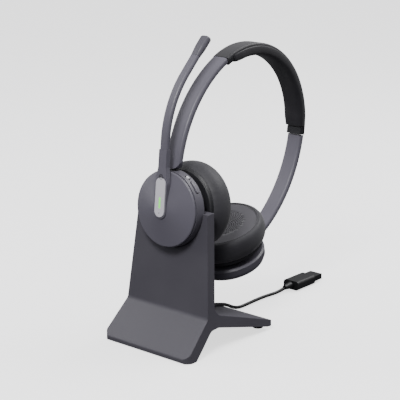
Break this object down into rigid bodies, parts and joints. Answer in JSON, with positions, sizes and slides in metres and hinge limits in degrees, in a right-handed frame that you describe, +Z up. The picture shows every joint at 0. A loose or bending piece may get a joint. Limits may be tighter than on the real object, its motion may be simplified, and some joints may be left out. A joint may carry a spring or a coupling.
{
  "type": "office headset",
  "caption": "Wireless office headset with a boom microphone, resting by one ear cup in the forked top of a slanted charging stand with a cable.",
  "frame": {"origin": "middle of the front foot's sole, on the floor", "axes": "+Z up, -Y out of the front of the stand, X across its width"},
  "size_m": [0.0858, 0.2204, 0.2289],
  "materials": {
    "stand": "fine satin grain",
    "soot": "matte",
    "ballast": "matte",
    "pads": "matte",
    "board": "solder mask",
    "black": "matte",
    "gold": "plated",
    "steel": "brushed",
    "cable": "satin jacket",
    "tie": "hook and loop",
    "shell": "satin",
    "arm": "satin",
    "pad": "soft leatherette",
    "leather": "soft leatherette",
    "cloth": "perforated",
    "mesh": "fine mesh",
    "key": "satin",
    "light": "lit",
    "white": "satin",
    "magnet": "plated",
    "driver": "matte",
    "cell": "foil"
  },
  "bodies": {
    "stand": {"stand_body": "stand", "stand_back": "stand", "base_cover": "soot", "ballast_plate": "ballast", "front_pads": "pads", "rear_pads": "pads", "charge_board": "board", "contact_block": "black", "usb_socket": "steel", "stand_screws": "steel", "cable_plug": "cable", "cable_relief": "cable", "cable": "cable", "cable_coil": "cable", "cable_tie": "tie", "cable_end_plug": "cable"},
    "pin_left": {"contact_pin_left": "gold"},
    "pin_right": {"contact_pin_right": "gold"},
    "near_cup": {"near_shell": "shell", "near_neck": "black", "near_flange": "black", "near_contacts": "gold", "near_baffle": "black", "near_driver": "driver", "near_magnet": "magnet", "near_cushion": "leather", "near_scrim": "cloth", "near_board": "board", "near_pin": "steel"},
    "boom": {"boom_hub": "arm", "hub_clip": "steel", "boom_arm": "arm", "mic_capsule": "shell", "mic_mesh": "mesh"},
    "key": {"call_key": "key", "status_light": "light"},
    "rocker": {"volume_rocker": "shell"},
    "slider": {"power_slider": "white"},
    "near_hinge": {"near_yoke": "black"},
    "near_side": {"near_arm": "arm"},
    "band": {"band_cover": "pad", "band_spring": "steel", "band_pad": "pad", "near_collar": "black", "far_collar": "black", "near_tongue": "steel", "far_tongue": "steel"},
    "far_side": {"far_arm": "arm"},
    "far_hinge": {"far_yoke": "black"},
    "far_cup": {"far_shell": "shell", "far_cover": "shell", "far_neck": "black", "far_flange": "black", "far_baffle": "black", "far_driver": "driver", "far_magnet": "magnet", "far_cushion": "leather", "far_scrim": "cloth", "battery": "cell", "far_pin": "steel"}
  },
  "joints": [
    {"name": "lift_off", "type": "slide", "parent": "stand", "child": "near_cup", "axis": [0, 0.0924, 0.9957], "range_m": [0, 0.06]},
    {"name": "pin_left_press", "type": "slide", "parent": "stand", "child": "pin_left", "axis": [0, -0.0924, -0.9957], "range_m": [0, 0.0006], "stiffness_N_per_m": 400, "springref_m": -0.0006},
    {"name": "pin_right_press", "type": "slide", "parent": "stand", "child": "pin_right", "axis": [0, -0.0924, -0.9957], "range_m": [0, 0.0006], "stiffness_N_per_m": 400, "springref_m": -0.0006},
    {"name": "boom_turn", "type": "hinge", "parent": "near_cup", "child": "boom", "pos_m": [0, 0.01968, 0.10531], "axis": [0, 0.9957, -0.0924], "range_deg": [-125, 125]},
    {"name": "call_press", "type": "slide", "parent": "boom", "child": "key", "axis": [0, 0.9957, -0.0924], "range_m": [0, 0.0004], "stiffness_N_per_m": 800, "springref_m": -0.0008},
    {"name": "volume_rock", "type": "hinge", "parent": "near_cup", "child": "rocker", "pos_m": [0.02029, 0.02769, 0.12291], "axis": [0, 0.9957, -0.0924], "range_deg": [-3, 3], "stiffness_Nm_per_rad": 0.2},
    {"name": "power_slide", "type": "slide", "parent": "near_cup", "child": "slider", "axis": [0.8704, -0.0455, -0.4903], "range_m": [-0.0005, 0.0005]},
    {"name": "near_tilt", "type": "hinge", "parent": "near_cup", "child": "near_hinge", "pos_m": [0, 0.02849, 0.12924], "axis": [1, 0, 0], "range_deg": [0, 10]},
    {"name": "near_swivel", "type": "hinge", "parent": "near_hinge", "child": "near_side", "pos_m": [0, 0.02849, 0.12924], "axis": [0, 0.0928, 0.9957], "range_deg": [-10, 10]},
    {"name": "near_extend", "type": "slide", "parent": "near_side", "child": "band", "axis": [0, 0.898, 0.4399], "range_m": [0, 0.018]},
    {"name": "far_extend", "type": "slide", "parent": "band", "child": "far_side", "axis": [0, -0.1891, -0.982], "range_m": [0, 0.008]},
    {"name": "far_swivel", "type": "hinge", "parent": "far_side", "child": "far_hinge", "pos_m": [0, 0.11758, 0.05855], "axis": [0, 0.9215, 0.3883], "range_deg": [-10, 10]},
    {"name": "far_tilt", "type": "hinge", "parent": "far_hinge", "child": "far_cup", "pos_m": [0, 0.11758, 0.05855], "axis": [1, 0, 0], "range_deg": [0, 15]}
  ]
}
